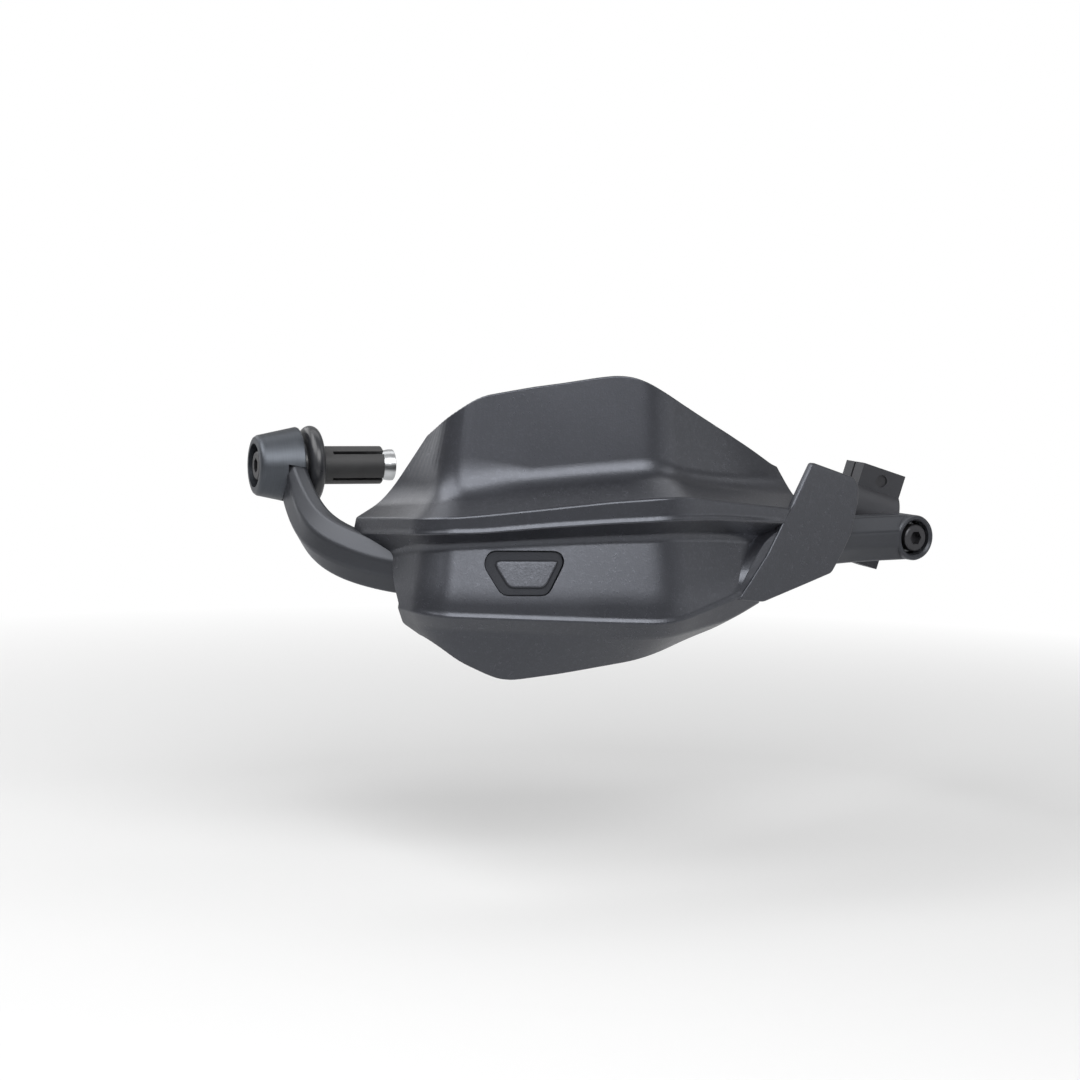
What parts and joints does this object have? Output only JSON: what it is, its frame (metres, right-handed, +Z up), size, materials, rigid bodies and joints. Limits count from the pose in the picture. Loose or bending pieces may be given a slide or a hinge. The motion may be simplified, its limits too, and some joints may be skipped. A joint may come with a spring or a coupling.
{
  "type": "motorcycle hand guard",
  "caption": "Right-hand motorcycle hand guard: moulded shield on a cast brace, with an expanding bar-end weight outboard and a split handlebar clamp inboard.",
  "frame": {"origin": "on the grip's axis, at the end face of the handlebar tube", "axes": "+X inboard along the handlebar, -Y forward in the riding direction, +Z up"},
  "size_m": [0.3296, 0.151, 0.1323],
  "materials": {
    "shield_plastic": "fine-grained moulded plastic",
    "inlay_plastic": "coarse-grained moulded plastic",
    "cast_aluminium": "satin powder coat on cast aluminium",
    "anodised_weight": "dark anodised turned metal",
    "ring_rubber": "glossy black",
    "black_steel": "blackened steel",
    "zinc_steel": "zinc plated",
    "insert_brass": "turned brass",
    "sleeve_rubber": "hard rubber",
    "clamp_metal": "black powder coat"
  },
  "bodies": {
    "root": {"shield": "shield_plastic", "inlay_cap": "inlay_plastic", "shield_insert_outer": "insert_brass", "shield_insert_middle": "insert_brass", "shield_insert_inner": "insert_brass", "shield_screw_outer": "black_steel", "shield_screw_middle": "black_steel", "shield_screw_inner": "black_steel", "shield_washer_outer": "zinc_steel", "shield_washer_middle": "zinc_steel", "shield_washer_inner": "zinc_steel", "brace": "cast_aluminium", "brace_bolt": "black_steel", "brace_washer": "zinc_steel", "bar_end_weight": "anodised_weight", "bar_end_bolt": "black_steel", "bar_end_washer": "zinc_steel", "spacer_ring": "ring_rubber", "expander_sleeve": "sleeve_rubber", "expander_wedge": "zinc_steel", "clamp_body": "clamp_metal", "clamp_cap": "clamp_metal", "clamp_screw_upper": "black_steel", "clamp_screw_lower": "black_steel"}
  },
  "joints": []
}
